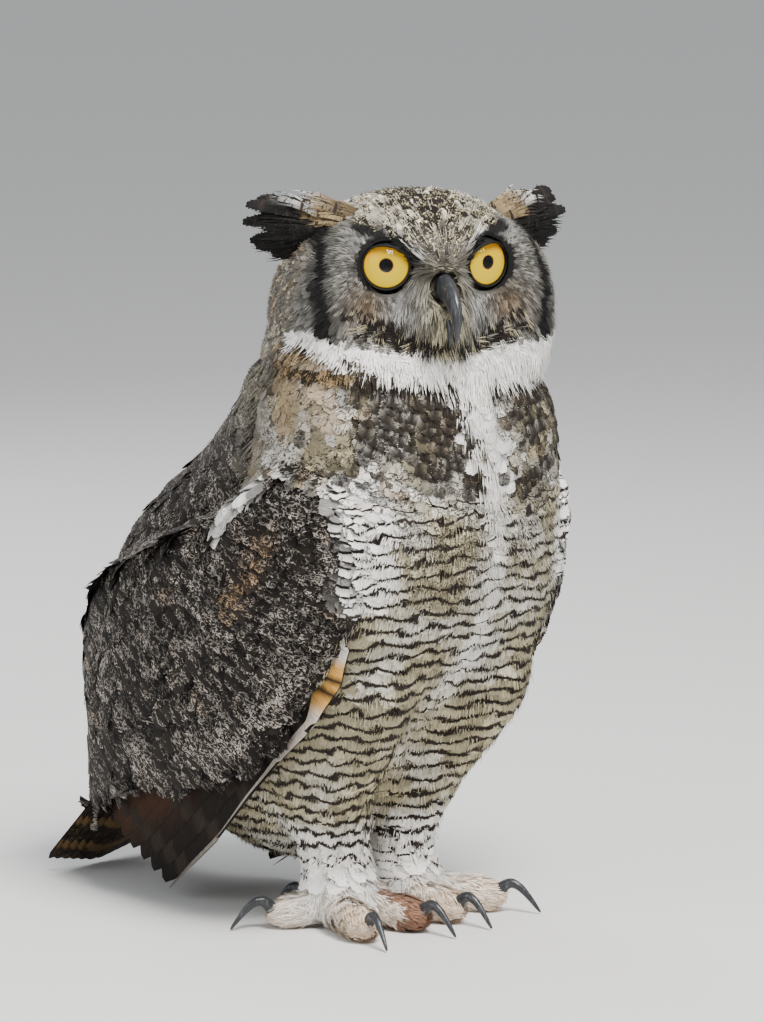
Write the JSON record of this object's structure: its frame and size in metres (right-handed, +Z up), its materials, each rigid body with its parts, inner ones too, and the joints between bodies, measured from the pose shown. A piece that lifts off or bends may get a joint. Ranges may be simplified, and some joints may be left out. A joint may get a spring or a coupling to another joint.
{
  "type": "great horned owl",
  "caption": "Life-size still model of a horned owl at rest: barred breast, folded mottled wings, flattened ear tufts, wide yellow eyes and feathered feet, head turned to its right",
  "frame": {"origin": "centre of the bottom of the owl's bounding box, on the floor it stands on", "axes": "+Z up; the body faces -Y and its left side is +X; the head is turned 29 degrees towards -X"},
  "size_m": [0.2122, 0.3296, 0.4175],
  "materials": {
    "face": "soft short feathers, matt",
    "plumage": "soft barred feathers, matt",
    "dark_plumage": "mottled dark feathers, matt",
    "pale_plumage": "short downy feathers, matt",
    "horn": "smooth dark horn, semi-gloss",
    "iris": "wet gloss"
  },
  "bodies": {
    "root": {"head": "face", "neck": "plumage", "trunk": "plumage", "thigh_left": "plumage", "thigh_right": "plumage", "wing_left": "dark_plumage", "wing_right": "dark_plumage", "primaries_left": "dark_plumage", "primaries_right": "dark_plumage", "tail": "dark_plumage", "ear_tuft_left": "dark_plumage", "ear_tuft_right": "dark_plumage", "shank_left": "pale_plumage", "shank_right": "pale_plumage", "foot_left": "pale_plumage", "foot_right": "pale_plumage", "toe_hind_left": "pale_plumage", "toe_outer_left": "pale_plumage", "toe_middle_left": "pale_plumage", "toe_inner_left": "pale_plumage", "toe_hind_right": "pale_plumage", "toe_outer_right": "pale_plumage", "toe_middle_right": "pale_plumage", "toe_inner_right": "pale_plumage", "bill_upper": "horn", "bill_lower": "horn", "claw_hind_left": "horn", "claw_outer_left": "horn", "claw_middle_left": "horn", "claw_inner_left": "horn", "claw_hind_right": "horn", "claw_outer_right": "horn", "claw_middle_right": "horn", "claw_inner_right": "horn", "eye_left": "iris", "eye_right": "iris"}
  },
  "joints": []
}
